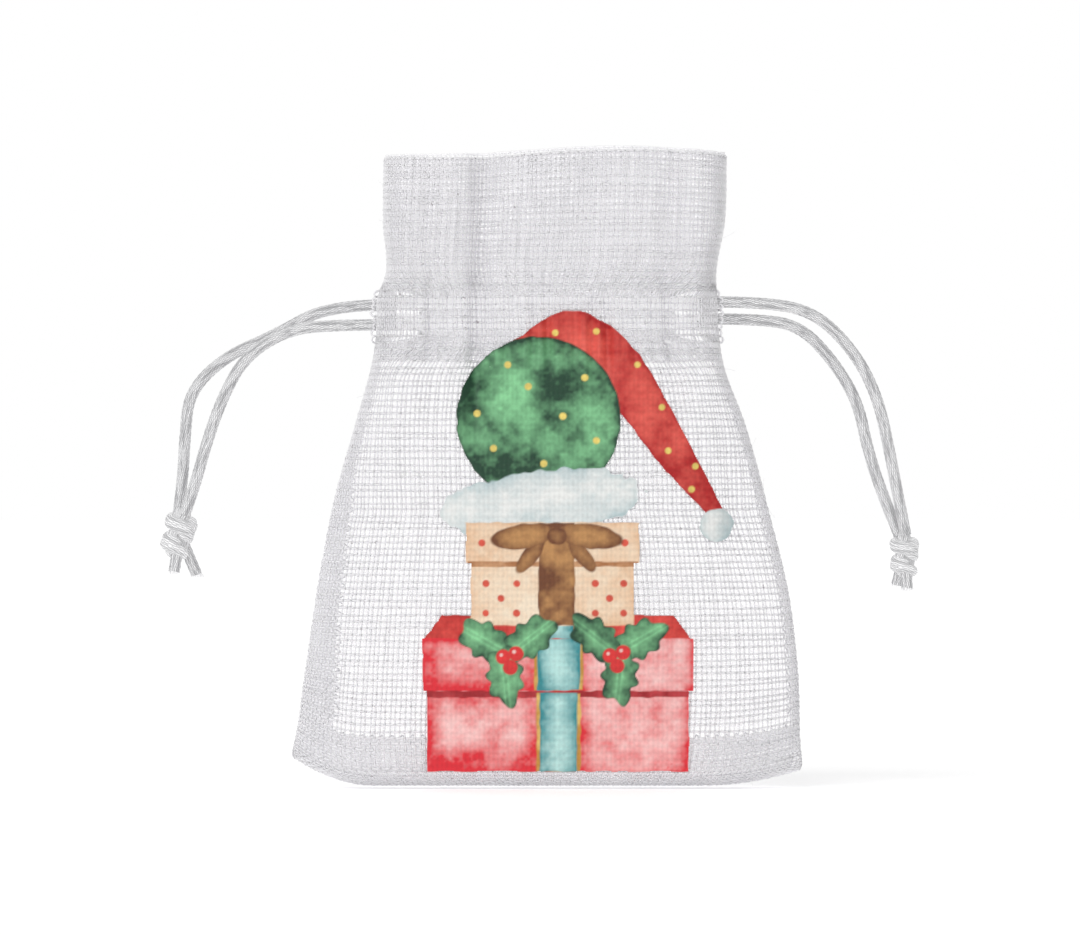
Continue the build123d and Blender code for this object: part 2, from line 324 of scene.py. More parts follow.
def line_axes(line):
    """Two axes across a line that turn as little as they can."""
    along = unit(np.gradient(line, axis=0))
    side = np.empty_like(line)
    first = np.cross(along[0], (0.0, 1.0, 0.0))
    if np.linalg.norm(first) < 0.3:
        first = np.cross(along[0], (1.0, 0.0, 0.0))
    side[0] = unit(first)
    for i in range(1, len(line)):
        side[i] = unit(side[i - 1] - along[i] * (side[i - 1] @ along[i]))
    return side, np.cross(along, side)


def lengths_along(line):
    """How far along a line each of its points lies."""
    return np.concatenate([[0], np.cumsum(np.linalg.norm(np.diff(line, axis=0), axis=1))])


def respaced(line, step):
    """The same line with its points evenly spaced."""
    distance = lengths_along(line)
    places = np.linspace(0, distance[-1], max(3, int(round(distance[-1] / step)) + 1))
    return np.column_stack([np.interp(places, distance, line[:, k]) for k in range(3)])


def thin_tube(line, radius):
    side, across = line_axes(line)
    return tubes(line[None], side[None], across[None], radius, radius)


# ---- materials

class Shading:
    """A new material and its nodes. What is the same all over is set on the shader itself."""

    def __init__(self, name, roughness, sheen=0.0, glow=0.0):
        self.material = bpy.data.materials.new(name)
        self.material.use_nodes = True
        self.nodes = self.material.node_tree.nodes
        self.shader = self.nodes["Principled BSDF"]
        self.fill(self.shader, {
            "Roughness": roughness, "Sheen Weight": sheen, "Sheen Roughness": 0.5,
            "Emission Color": (*WHITE, 1.0), "Emission Strength": glow,
        })

    def fill(self, node, inputs):
        """Links the inputs that are given an output, and sets the others."""
        for name, value in inputs.items():
            if isinstance(value, bpy.types.NodeSocket):
                self.material.node_tree.links.new(value, node.inputs[name])
            else:
                node.inputs[name].default_value = value
        return node

    def add(self, kind, inputs):
        return self.fill(self.nodes.new("ShaderNode" + kind), inputs)

    def noise(self, scale, detail=3.0):
        """Noise in the object's own coordinates, in metres, so a scale of 1000 has spots of a millimetre."""
        place = self.add("TexCoord", {}).outputs["Object"]
        return self.add("TexNoise", {"Vector": place, "Scale": scale, "Detail": detail}).outputs["Fac"]

    def turned(self, place, angle, scale=(1.0, 1.0, 1.0)):
        """Coordinates turned about their third axis and scaled."""
        inputs = {"Vector": place, "Rotation": (0.0, 0.0, angle), "Scale": scale}
        return self.add("Mapping", inputs).outputs["Vector"]

    def ramp(self, source, *stops):
        """Two colours, each at its place from 0 to 1 along a factor."""
        node = self.add("ValToRGB", {"Fac": source})
        for element, (place, colour) in zip(node.color_ramp.elements, stops):
            element.position = place
            element.color = (*colour, 1.0)
        return node.outputs["Color"]

    def multiply(self, first, second, amount=1.0):
        node = self.nodes.new("ShaderNodeMix")
        node.data_type = "RGBA"
        node.blend_type = "MULTIPLY"
        return self.fill(node, {"Factor": amount, "A": first, "B": second}).outputs["Result"]

    def between(self, source, low, high):
        return self.add("MapRange", {"Value": source, "To Min": low, "To Max": high}).outputs["Result"]

    def bump(self, source, depth, strength=0.6):
        bump = self.add("Bump", {"Height": source, "Strength": strength, "Distance": depth * MM})
        self.fill(self.shader, {"Normal": bump.outputs["Normal"]})


def cloth_material(name, pale, dim, glow):
    """Bleached cotton yarn: patchy white, small grey flecks, fibres that catch light, and a glow of painted
    light.
    """
    shading = Shading(name, 0.88, sheen=0.15, glow=glow)
    patches = shading.ramp(shading.noise(260.0), (0.3, dim), (0.7, pale))
    flecks = shading.ramp(shading.noise(900.0, detail=1.0), (0.225, (0.52, 0.50, 0.50)), (0.255, WHITE))
    fibres = shading.noise(5200.0, detail=4.0)
    shading.bump(fibres, 0.05)
    shading.fill(shading.shader, {
        "Base Color": shading.multiply(patches, flecks), "Roughness": shading.between(fibres, 0.78, 0.96),
        "Subsurface Weight": 0.8, "Subsurface Radius": WHITE, "Subsurface Scale": 0.6 * MM,
    })
    return shading.material


def satin_material(name, dim, glow):
    """White satin cord: crossing filaments, painted shade in their grooves, long streaks of painted highlight
    and shade.
    """
    # glow is an even emission: painted light, though the cord is no lamp.
    shading = Shading(name, 0.3, sheen=0.2, glow=glow)
    place = shading.nodes.new("ShaderNodeUVMap")
    place.uv_map = "along"
    place = place.outputs["UV"]
    sets = [
        shading.add("TexWave", {
            "Vector": shading.turned(place, math.atan(lean)), "Scale": 5.5, "Distortion": 3.0, "Detail": 2.0,
        }).outputs["Fac"]
        for lean in (0.225, -0.325)
    ]
    lines = shading.nodes.new("ShaderNodeMath")
    lines.operation = "MULTIPLY"
    for factor, filaments in zip(lines.inputs, sets):
        shading.material.node_tree.links.new(filaments, factor)
    lines = lines.outputs["Value"]
    streaks = shading.add("TexNoise", {
        "Vector": shading.turned(place, 0.35, (11.0, 1.5, 1.0)), "Scale": 1.0, "Detail": 3.0,
    }).outputs["Fac"]
    # Painted shade darkens the grooves between filaments to dim; the streaks run from painted shade to a
    # painted highlight.
    deep = 0.2 + 0.9 * dim
    tint = shading.ramp(lines, (0.0, (dim, dim, dim + 0.01)), (0.34, (0.98, 0.98, 0.99)))
    painted_highlight_and_shade = shading.ramp(streaks, (0.40, (deep, deep, deep + 0.01)), (0.52, WHITE))
    shading.bump(lines, 0.12, strength=0.8)
    shading.fill(shading.shader, {
        "Base Color": shading.multiply(tint, painted_highlight_and_shade), "Roughness": shading.between(lines, 0.42, 0.24),
        "Anisotropic": 0.5,
    })
    return shading.material


def thread_material():
    """Spun sewing thread."""
    shading = Shading("sewing_thread", 0.55, sheen=0.2)
    tint = shading.ramp(shading.noise(700.0), (0.3, (0.80, 0.80, 0.82)), (0.7, (0.90, 0.90, 0.91)))
    fuzz = shading.noise(6000.0)
    shading.bump(fuzz, 0.04)
    shading.fill(shading.shader, {"Base Color": tint, "Roughness": shading.between(fuzz, 0.45, 0.7)})
    return shading.material


def print_material():
    """The transfer film: the painted colours, grained by the paint's own paper and by the cloth below."""
    shading = Shading("printed_film", 0.6, sheen=0.05)
    paint = shading.nodes.new("ShaderNodeVertexColor")
    paint.layer_name = "paint"
    grain = shading.ramp(shading.noise(1900.0, detail=4.0), (0.3, (0.86, 0.86, 0.86)), (0.65, WHITE))
    rough = shading.noise(2500.0)
    shading.bump(rough, 0.03, strength=0.4)
    shading.fill(shading.shader, {
        "Base Color": shading.multiply(paint.outputs["Color"], grain, 0.7),
        "Roughness": shading.between(rough, 0.5, 0.75),
    })
    return shading.material


# ---- camera and cords

def add_camera():
    data = bpy.data.cameras.new("camera")
    data.sensor_width = SENSOR_WIDTH
    data.lens = SENSOR_WIDTH * VIEW_DISTANCE / VIEW_WIDTH
    data.clip_start, data.clip_end = 0.01, 50.0
    camera = bpy.data.objects.new("camera", data)
    x, y, z = VIEW_CENTRE
    camera.location = (x * MM, (y - VIEW_DISTANCE) * MM, z * MM)
    camera.rotation_euler = (math.pi / 2, 0.0, 0.0)
    bpy.context.collection.objects.link(camera)
    bpy.context.scene.camera = camera


def spline_line(name, route):
    """The points of one smooth spline that has the route as its control points, in millimetres."""
    curve = bpy.data.curves.new(name, "CURVE")
    curve.dimensions = "3D"
    curve.resolution_u = 32
    spline = curve.splines.new("NURBS")
    spline.points.add(len(route) - 1)
    for point, place in zip(spline.points, route):
        point.co = (*place, 1.0)
    spline.order_u = 3
    spline.use_endpoint_u = True
    holder = bpy.data.objects.new(name, curve)
    mesh = bpy.data.meshes.new_from_object(holder)
    line = np.array([vertex.co for vertex in mesh.vertices]) / MM
    bpy.data.objects.remove(holder)
    bpy.data.meshes.remove(mesh)
    return line


def cord_mesh(line, radius=CORD_RADIUS, corners=28, closed_ends=False, phase=0.0):
    """Points, faces and UVs of a cord of twisted plies along a line."""
    side, across = line_axes(line)
    distance = lengths_along(line)
    angles = np.arange(corners) * 2 * math.pi / corners
    twist = angles[None] - 2 * math.pi * (distance / CORD_PITCH)[:, None] + phase
    ridge = np.abs(np.cos(CORD_PLIES / 2 * twist)) ** 0.8
    size = radius * (PLY_HOLLOW + PLY_RIDGE * ridge)
    if closed_ends:
        near_end = np.minimum(distance, distance[-1] - distance)[:, None]
        size = size * np.sqrt(np.clip(near_end / radius, 0.02, 1.0))
    rings = (
        line[:, None]
        + (np.cos(angles)[None] * size)[..., None] * side[:, None]
        + (np.sin(angles)[None] * size)[..., None] * across[:, None]
    )
    steps = len(line)
    number = np.arange(steps * corners).reshape(steps, corners)
    turned = np.roll(number, -1, axis=1)
    faces = np.stack([number[:-1], turned[:-1], turned[1:], number[1:]], axis=-1)
    u = np.broadcast_to(np.arange(corners + 1) / corners, (steps, corners + 1))
    v = np.broadcast_to((distance / (2 * math.pi * radius))[:, None], u.shape)
    pair = np.stack([u, v], axis=-1)
    uv = np.stack([pair[:-1, :-1], pair[:-1, 1:], pair[1:, 1:], pair[1:, :-1]], axis=2)
    return rings.reshape(-1, 3), faces.reshape(-1, 4), uv.reshape(-1, 2)


def join_cords(parts):
    points, faces = merge([part[:2] for part in parts])
    return points, faces, np.concatenate([part[2] for part in parts])


def casing_line(toward, low_z, high_z):
    """The hidden loop of one cord: in along the casing's front, round the far side, back along its back."""
    turn = np.linspace(0, math.pi, 40)
    bend_x = -toward * (TURN_X + RUN_Y * np.sin(turn))
    xs = np.concatenate([[toward * SLOT_X], bend_x, [toward * SLOT_X]])
    ys = np.concatenate([[-RUN_Y], -RUN_Y * np.cos(turn), [RUN_Y]])
    line = respaced(np.column_stack([xs, ys, np.zeros_like(xs)]), 0.4)
    line[:, 2] = low_z + (high_z - low_z) * ramp(np.linspace(0, 1, len(line)), *CROSSING)
    return line


# The wraps of a knot: start angle, turns, first and last height from -1 to 1, how far out. The last lies over
# the others the other way round.
KNOT_WRAPS = (
    (0.4, 1.35, 0.92, -0.10, 1.0),
    (2.6, 1.40, 0.55, -0.50, 1.0),
    (4.9, 1.25, 0.10, -0.92, 0.97),
    (3.3, -0.62, -0.62, 0.66, 1.22),
)


def knot_cords(centre, width, height, lean):
    """The wraps of an overhand knot in two cords laid together, pulled tight into a small barrel."""
    radius = 0.40 * width / 2
    wrap = width / 2 - radius
    tall = height / 2 - radius
    rng = np.random.default_rng(int(abs(centre[0])))
    share = np.linspace(0, 1, 70)
    tuck = np.minimum(share, 1 - share)
    parts = []
    for start, turns, first, last, out in KNOT_WRAPS:
        angle = start + 2 * math.pi * turns * share
        z = tall * (first + (last - first) * share)
        barrel = np.sqrt(np.clip(1.06 - (z / (tall + radius)) ** 2, 0.25, 1.0))
        reach = wrap * out * np.clip(0.35 + tuck / 0.12, 0.35, 1.0) * barrel
        parts.append(np.column_stack([reach * np.cos(angle), reach * np.sin(angle), z]))
    for offset in (-0.55, 0.55):    # the two cords that run through the wraps
        z = np.linspace(tall + 0.6, -tall - 0.4, 60)
        sway = offset * np.cos(z / tall * 1.6 + rng.uniform(0, 1)) * wrap
        parts.append(np.column_stack([sway, offset * 0.6 * np.ones_like(z), z]))
    tilt = math.radians(lean)
    turn = np.array(((math.cos(tilt), 0, math.sin(tilt)), (0, 1, 0), (-math.sin(tilt), 0, math.cos(tilt))))
    return join_cords([
        cord_mesh(part @ turn.T + centre, radius=radius * 1.02, corners=16, closed_ends=True, phase=number)
        for number, part in enumerate(parts)
    ])


def tail_cord(start, end, seed):
    """A short cut end: the cord opens a little into its filaments."""
    start, end = np.array(start), np.array(end)
    rng = np.random.default_rng(seed)
    share = np.linspace(-0.3, 0.93, 50)[:, None]
    body = cord_mesh(start + (end - start) * share, corners=21, phase=seed)
    down = unit(end - start)
    length = np.linalg.norm(end - start)
    run = np.linspace(0, 1, 5)[:, None]
    filaments = []
    for _ in range(150):
        angle, reach = rng.uniform(0, 2 * math.pi), 0.8 * math.sqrt(rng.uniform(0, 1))
        spread = np.array((math.cos(angle), math.sin(angle), 0.0))
        strand = start + down * length * 0.84 + spread * reach
        strand = strand + down * length * rng.uniform(0.1, 0.19) * run
        filaments.append(thin_tube(strand + spread * rng.uniform(0.0, 0.22) * run**2, 0.075))
    points, faces = merge(filaments)
    uv = np.tile(np.array([[0.25, 0.2]]), (faces.size, 1))
    return join_cords([body, (points, faces, uv)])


def build_cords(satin, hidden_satin_painted_light, knot_satin_painted_light):
    """The two drawcords: loops in the casing, free strands, knots and cut ends."""
    for hand, body, toward in (("left", LEFT_CORD, -1.0), ("right", RIGHT_CORD, 1.0)):
        loop = cord_mesh(casing_line(toward, *LOOP_HEIGHTS[hand]), corners=16)
        hidden = add_piece(f"{hand}_casing_loop", loop, hidden_satin_painted_light, f"{hand}_cord_in_casing", body)
        # Faces inside the casing keep the paler satin with more painted light; those out in a slot take the
        # plain satin.
        second_material(hidden, satin, np.abs(face_values(hidden, "center")[:, 0]) > LIT_X * MM)
        wraps = knot_cords(**KNOTS[hand])
        knot = add_piece(f"{hand}_knot_wraps", wraps, knot_satin_painted_light, f"{hand}_knot", body)
        for side, seed, with_it in (("front", 5, [knot]), ("back", 7, [])):
            name = f"{hand}_{side}"
            end = tail_cord(*TAILS[name], seed)
            tail = add_piece(f"{name}_cut_end", end, satin, f"{name}_tail", body)
            line = spline_line(name, ROUTES[name])
            strand = add_piece(
                f"{name}_strand", cord_mesh(line), satin, f"{hand}_cord_{side}_strand", body
            )


# ---- the shape of the cloth

def section(height):
    """Half width, shift, half depth and straight half length at a height."""
    rows = np.array(SECTIONS)
    return [smooth(height, rows[:, 0], rows[:, k]) for k in range(1, 5)]


def waves(x, table, shift):
    """Waves across the cloth, laid over each other."""
    return sum(np.sin(2 * math.pi * x / length + phase + shift) for length, phase in table)


def upright_fold(x, height, across, lean, depth, width, low, high, soft):
    return depth * hump(x, across + lean * height, width) * window(height, low, high, soft)


def gathers(x, height, front):
    """How far the drawn-up cloth stands out in folds, over its plain section."""
    start = 0.0 if front else 2.0
    pleats = waves(x, PLEATS, start + 0.05 * height) * window(height, 66.0, 80.0, 4.0)
    swells = waves(x, SWELLS, start) * np.exp(-np.abs(height - 73.0) / 10.0)
    dents = hump(height, CASING_LOW, 1.2) + hump(height, CASING_HIGH, 1.2)
    table = FRONT_VALLEYS if front else BACK_VALLEYS
    valleys = sum(deep * hump(x, across, wide) for across, deep, wide in table)
    crease = upright_fold(x, height, *(FRONT_CREASE if front else BACK_CREASE))
    ridge = 0.0
    if front:
        valleys = valleys + hump(x, MAIN_VALLEY + 0.03 * (height - 80.0), 2.1)
        valleys = valleys + 0.25 * hump(x, 5.5, 3.5) * ramp(height, 76.0, 92.0)
        ridge = upright_fold(x, height, *FRONT_RIDGE)
    crest = CREST * ramp(height, 50.0, 67.0) * (1 - np.clip(valleys, 0, 1))
    return crest + PLEAT_DEPTH * pleats + SWELL_DEPTH * swells + ridge - STITCH_DENT * dents - crease


def depth_at(x, height, front):
    """How far in front of (or behind) the middle plane a panel lies."""
    half_width, shift, half_depth, straight = section(height)
    inward = np.abs(x - shift)
    past = np.clip((inward - straight) / np.maximum(half_width - straight, 0.1), 0.0, 1.0)
    rounding = np.sqrt(1 - past**2)
    rounding = rounding + (1 - rounding) * window(height, SLOT_LOW, SLOT_HIGH, 0.5) * SLOT_SPREAD
    seat = np.sqrt(1 - (1 - np.clip(height / SEAT_ROUND, 0, 1)) ** 2)
    fade = np.sqrt(np.clip((half_width - inward) / EDGE_FADE, 0, 1))
    return half_depth * rounding * seat + gathers(x, height, front) * fade * ramp(height, 4.0, 20.0)


def level_at(x, height):
    """The height that a level line of the cloth has at x: raised bottom corners and a wavy top edge."""
    lift = sum(rise * np.clip((side * x - start) / width, 0, 1) ** 2 for side, rise, start, width in CORNERS)
    corners = lift * (1 - ramp(height, 0.0, 26.0))
    wave = 0.7 * (np.cos(2 * math.pi * (x - 11.5) / 59.0) - 1) * ramp(height, 79.0, 100.0)
    return height + corners + wave + SEAT_LIFT * (1 - ramp(height, 0.0, SEAT_ROUND))


def panel_grid(front, levels=240, columns=260):
    """Points and outward directions of a panel, on even steps of its own cloth, and the levels' heights."""
    toward = -1.0 if front else 1.0
    seat_levels = SEAT_ROUND * (1 - np.cos(np.linspace(0, math.pi / 2, 24)[:-1]))
    heights = np.concatenate([seat_levels, np.linspace(SEAT_ROUND, HEIGHT, levels)])
    across = np.sin(np.linspace(-math.pi / 2, math.pi / 2, 1200))
    grid = np.empty((len(heights), columns, 3))
    for row, height in enumerate(heights):
        half_width, shift, _, _ = section(np.array(height))
        x = shift + half_width * across
        step = np.hypot(np.diff(x), np.diff(depth_at(x, height, front)))
        run = np.concatenate([[0], np.cumsum(step)])
        middle = (run[:-1] + run[1:]) / 2
        # The cloth that the shape has no room for is crowded in beside the seams.
        edge = np.exp(-((np.minimum(middle, run[-1] - middle) / 4.5) ** 2))
        spare = (CLOTH_WIDTH - run[-1]) / max((edge * step).sum(), 1e-6)
        cloth = np.cumsum(step * (1 + edge * np.clip(spare, -0.2, 1.6)))
        cloth = np.concatenate([[0], cloth]) / cloth[-1]
        place = np.interp(np.linspace(0, 1, columns), cloth, x)
        depth = toward * depth_at(place, height, front)
        grid[row] = np.column_stack([place, depth, level_at(place, height)])
    climb = lengths_along(grid[:, columns // 2, 1:])
    even = np.linspace(0, climb[-1], levels)
    index = np.interp(even, climb, np.arange(len(heights)))
    low = np.minimum(index.astype(int), len(heights) - 2)
    part = (index - low)[:, None, None]
    grid = grid[low] * (1 - part) + grid[low + 1] * part
    outward = -toward * unit(np.cross(np.gradient(grid, axis=1), np.gradient(grid, axis=0)))
    return grid, outward, np.interp(even, climb, heights), climb[-1]


def look_up(table, u, v):
    """Values between a table's grid points, for u along its columns and v along its rows, both 0 to 1."""
    rows, columns = table.shape[:2]
    column = np.clip(u, 0, 1) * (columns - 1)
    row = np.clip(v, 0, 1) * (rows - 1)
    i, j = np.minimum(row.astype(int), rows - 2), np.minimum(column.astype(int), columns - 2)
    s, t = (row - i)[..., None], (column - j)[..., None]
    return bilinear(lambda up, right: table[i + up, j + right], s, t)


class Panel:
    """One panel's shape, asked for by its own cloth coordinates."""

    def __init__(self, front):
        self.points, self.outward, self.heights, self.length = panel_grid(front)
        self.middle = np.array((0.0, 1.0 if front else -1.0, 0.0))
        self.warps = int(round(CLOTH_WIDTH / WARP_PITCH))
        self.wefts = int(round(self.length / WEFT_PITCH))
        self.shares = np.linspace(0, 1, len(self.heights))

    def share_at(self, height):
        """How far up the cloth a height is, from 0 to 1."""
        return np.interp(height, self.heights, self.shares)

    def height_at(self, share):
        return np.interp(share, self.shares, self.heights)

    def place(self, u, v, inward=0.0):
        """Points and outward directions at u across and v up, moved in from the face by a distance."""
        outward = unit(look_up(self.outward, u, v))
        return look_up(self.points, u, v) - outward * np.asarray(inward, float)[..., None], outward


# ---- weaving

def weave(surface, warps, wefts, seed, stray=0.13, shift=(0.0, 0.0)):
    """Plain weave on a surface: every warp goes over and under the wefts, and the wefts the other way."""
    rng = np.random.default_rng(seed)
    u = (np.arange(warps) + 0.5 + shift[0])[:, None] + stray * wander(rng, warps, wefts, 9)
    u = u + WARP_OFF * rng.uniform(-1, 1, (warps, 1)) + WARP_JITTER * rng.uniform(-1, 1, (warps, wefts))
    v = (np.arange(wefts) + 0.5 + shift[1])[None] + (stray * wander(rng, wefts, warps, 12)).T
    v = v + WEFT_OFF * rng.uniform(-1, 1, (1, wefts)) + WEFT_JITTER * rng.uniform(-1, 1, (warps, wefts))
    points, outward = surface(u / warps, v / wefts)
    over = np.where((np.arange(warps)[:, None] + np.arange(wefts)[None]) % 2, 1.0, -1.0)[..., None]
    parts = []
    for sign, half in ((1.0, WARP_HALF), (-1.0, WEFT_HALF)):
        centres, normal = points + outward * over * sign * YARN_LIFT, outward
        if half is WEFT_HALF:
            centres, normal = centres.swapaxes(0, 1), outward.swapaxes(0, 1)
        count, steps = centres.shape[:2]
        along = unit(np.gradient(centres, axis=1))
        side = unit(np.cross(normal, along))
        uneven = 0.20 * wander(rng, count, steps, 5) + 0.10 * rng.uniform(-1, 1, (count, steps))
        # A yarn thins where its neighbours crowd it.
        apart = np.linalg.norm(np.gradient(centres, axis=0), axis=-1)
        width = np.minimum(half * (1 + uneven), 0.47 * np.maximum(apart, 0.12))
        parts.append(tubes(centres, side, np.cross(along, side), width, width * YARN_FLATNESS))
    return merge(parts)


def edge_loops(panel, seed):
    """The wefts' turns along the open edges of the slots, which stand out as small scallops."""
    rng = np.random.default_rng(seed)
    first, last = (int(panel.share_at(height) * panel.wefts) for height in (SLOT_LOW, SLOT_HIGH))
    turn = np.linspace(0, math.pi, 9)
    climb = ((1 - np.cos(turn)) / 2)[:, None]
    loops = []
    for edge, out in ((0.0, -1.0), (1.0, 1.0)):
        for row in range(first, last):
            low, _ = panel.place(np.array([edge]), np.array([(row + 0.5) / panel.wefts]))
            high, _ = panel.place(np.array([edge]), np.array([(row + 1.5) / panel.wefts]))
            line = low + (high - low) * climb
            line[:, 0] += out * rng.uniform(0.4, 1.0) * np.sin(turn)
            loops.append(thin_tube(line, 0.9 * WEFT_HALF))
    return loops


def facing_surface(panel, turn_over):
    """The cloth folded in at the top: over the edge, down inside, standing off where the cords run."""
    fold = 0.5 * math.pi * turn_over
    up = np.array((0.0, 0.0, 1.0))

    def surface(u, v):
        down = v * (fold + HEIGHT - FACING_END)
        turn = np.clip(down / fold, 0, 1) * math.pi
        height = HEIGHT - np.clip(down - fold, 0, None)
        share = panel.share_at(height)
        x = panel.place(u, share)[0][..., 0]
        # Where the header shows open holes, the yarns of its two layers are in step.
        open_band = window(x, -9.0, 2.0, 2.0) * window(height, 92.0, 99.0, 1.5)
        in_step = np.clip(hump(x, MAIN_VALLEY, 1.8) + 0.5 * hump(x, 22.5, 2.5) + open_band, 0, 1)
        gap = turn_over * (1 - np.cos(turn)) / 2
        points, outward = panel.place(u + 0.5 * (1 - in_step) / panel.warps, share, gap)
        channel = np.clip(np.abs(points[..., 1]) - CHANNEL_BACK, 0, None) * window(height, 70.4, 77.4, 0.8)
        points = points + channel[..., None] * panel.middle
        past = np.clip(np.abs(points[..., 0]) - FACING_SOFT, 0, None)
        past = past * window(height, SLOT_LOW, SLOT_HIGH, 0.6)
        points[..., 0] -= np.sign(points[..., 0]) * past * FACING_DRAW
        points = points + np.sin(turn)[..., None] * up * turn_over / 2
        return points, unit(outward * np.cos(turn)[..., None] + up * np.sin(turn)[..., None])

    return surface, fold + HEIGHT - FACING_END


def left_width(height):
    """How wide the left allowance shows, as a share of the panel: it narrows upwards."""
    return (7.4 - 0.062 * (height - 9.0)) / CLOTH_WIDTH


def right_width(height):
    """The right allowance has one width all the way up."""
    return np.full_like(height, 2.2 / CLOTH_WIDTH)


def plies(panel, place, yarns, rows, seed, step, start=0.0):
    """The two plies of an allowance, pressed against the inside of a panel, each a step aside."""
    parts = []
    for ply in (1, 2):
        def surface(u, v, inward=ply * PLY_GAP):
            return panel.place(*place(u, v), inward)

        shift = (start + step * ply, ply / 3)
        parts.append(weave(surface, yarns, rows, seed + ply, stray=0.2, shift=shift))
    return merge(parts)


def side_plies(panel, width, from_left, yarns, low_row, seed):
    """The allowance of a side seam, and how many rows it has."""
    rows = int(panel.share_at(FACING_END) * panel.wefts) - low_row

    def place(u, v):
        share = (low_row + v * rows) / panel.wefts
        across = u * width(panel.height_at(share))
        return across if from_left else 1 - across, share

    return plies(panel, place, yarns, rows, seed, 0.3, -0.45), rows


def bottom_plies(panel, first, yarns, rows, seed):
    """The allowance of the bottom seam, folded up inside the front."""
    def place(u, v):
        return (first + u * yarns) / panel.warps, v * rows / panel.wefts

    return plies(panel, place, yarns, rows, seed, 1 / 3)


def build_cloth(front, back, cloth, back_cloth_painted_light, lining_painted_light):
    """The two panels, their facings and the three seam allowances inside."""
    pieces = {}
    for name, panel, material, seed in (("front", front, cloth, 11), ("back", back, back_cloth_painted_light, 23)):
        shape = merge([weave(panel.place, panel.warps, panel.wefts, seed)] + edge_loops(panel, seed + 7))
        pieces[name] = add_piece(f"{name}_cloth", shape, material, f"{name}_panel")
        surface, length = facing_surface(panel, PLY_GAP)
        shape = weave(surface, panel.warps, int(round(length / WEFT_PITCH)), seed + 1)
        facing = add_piece(f"{name}_facing_cloth", shape, lining_painted_light, f"{name}_facing")
    shape, rows = side_plies(front, left_width, from_left=True, yarns=18, low_row=1, seed=40)
    left = add_piece("left_allowance_cloth", shape, lining_painted_light, "left_allowance")
    shape, _ = side_plies(front, right_width, from_left=False, yarns=4, low_row=9, seed=44)
    right = add_piece("right_allowance_cloth", shape, lining_painted_light, "right_allowance")
    yarns, rows = 101, 14
    shape = bottom_plies(front, 3, yarns, rows, seed=50)
    bottom = add_piece("bottom_allowance_cloth", shape, lining_painted_light, "bottom_allowance")
    return pieces, right


# ---- threads

def spans(first, last, pitch):
    """Where the stitches of a row start and end."""
    return [(start, start + STITCH_SHARE * pitch) for start in np.arange(first, last, pitch)]


def stitches(panel, u_spans, v_spans, inward):
    """A row of stitches: short threads that dip into the cloth at both ends."""
    share = np.linspace(0, 1, 7)
    dip = STITCH_DIP * (2 * share - 1) ** 4
    lines = [
        panel.place(u0 + (u1 - u0) * share, v0 + (v1 - v0) * share, inward + dip)[0]
        for (u0, u1), (v0, v1) in zip(u_spans, v_spans)
    ]
    return merge([thin_tube(line, STITCH_RADIUS) for line in lines])


def level_row(panel, height, count, inward):
    """A row of stitches straight across a panel, with so many to its width."""
    across = spans(0.02, 0.965, 1 / count)
    share = panel.share_at(height)
    return stitches(panel, across, [(share, share)] * len(across), inward)


def overlock(panel, u_line, v_line, swing_u=0.0, swing_v=0.0):
    """A zigzag of thread about a line on the inside of a panel, over the plies."""
    swing = np.where(np.arange(len(u_line)) % 2, 1.0, -1.0)
    line, _ = panel.place(u_line + swing * swing_u, v_line + swing * swing_v, 3 * PLY_GAP - 0.1)
    return thin_tube(respaced(line, 0.4), OVERLOCK_RADIUS)


def build_threads(front, back, thread):
    """Casing rows, seams and the overlocked raw edges."""
    for side, panel in (("front", front), ("back", back)):
        for row, height in (("lower", CASING_LOW), ("upper", CASING_HIGH)):
            shape = level_row(panel, height, CASING_STITCHES, -0.06)
            add_piece(f"{row}_casing_row_{side}", shape, thread, f"{row}_casing_stitches_{side}")
    pitch = SEAM_PITCH / front.length
    up = []
    for low, high in ((3.0, 67.0), (79.5, 98.5)):    # the seams leave a gap at the slots
        up += spans(front.share_at(low), front.share_at(high), pitch)
    for hand, u in (("left", 0.006), ("right", 0.994)):
        shape = stitches(front, [(u, u)] * len(up), up, 0.05)
        add_piece(f"{hand}_seam_row", shape, thread, f"{hand}_side_stitches")
    shape = level_row(front, 0.12, BOTTOM_STITCHES, 0.1)
    add_piece("bottom_seam_row", shape, thread, "bottom_stitches")
    heights = np.linspace(10.0, 66.0, 76)
    shares = front.share_at(heights)
    bottom_u = np.linspace(0.05, 0.96, 96)
    bottom_v = np.full_like(bottom_u, 14.2 / front.wefts)
    for edge, shape in (
        ("left", overlock(front, left_width(heights), shares, swing_u=0.011)),
        ("right", overlock(front, 1 - right_width(heights), shares, swing_u=0.006)),
        ("bottom", overlock(front, bottom_u, bottom_v, swing_v=0.006)),
    ):
        add_piece(f"{edge}_overlock_thread", shape, thread, f"{edge}_overlock")


def build_fibres(front, back, cloth):
    """Loose ends of fibre that stand off the yarns, but not over the picture."""
    rng = np.random.default_rng(77)
    share = np.linspace(0, 1, 9)[:, None]
    parts = []
    for number in range(120):
        panel = front if number % 3 else back
        u, v = rng.uniform(0.02, 0.98), rng.uniform(0.03, 0.99)
        if number % 5 == 0:
            u = rng.choice([0.004, 0.996])
        root, outward = panel.place(np.array([u]), np.array([v]), -0.2)
        if panel is front and abs(root[0, 0] - 2.0) < 24.0 and root[0, 2] < 76.0:
            continue
        heading = unit(rng.normal(size=3) + 0.3 * outward[0])
        bend = rng.normal(size=3)
        length = rng.uniform(0.6, 2.4)
        line = root[0] + length * (heading * share + 0.45 * bend * share**2 * (1 - 0.4 * share))
        line[:, 2] = np.maximum(line[:, 2], 0.2)
        parts.append(thin_tube(line, 0.022))
    return add_piece("loose_fibres", merge(parts), cloth)


# ---- the printed picture

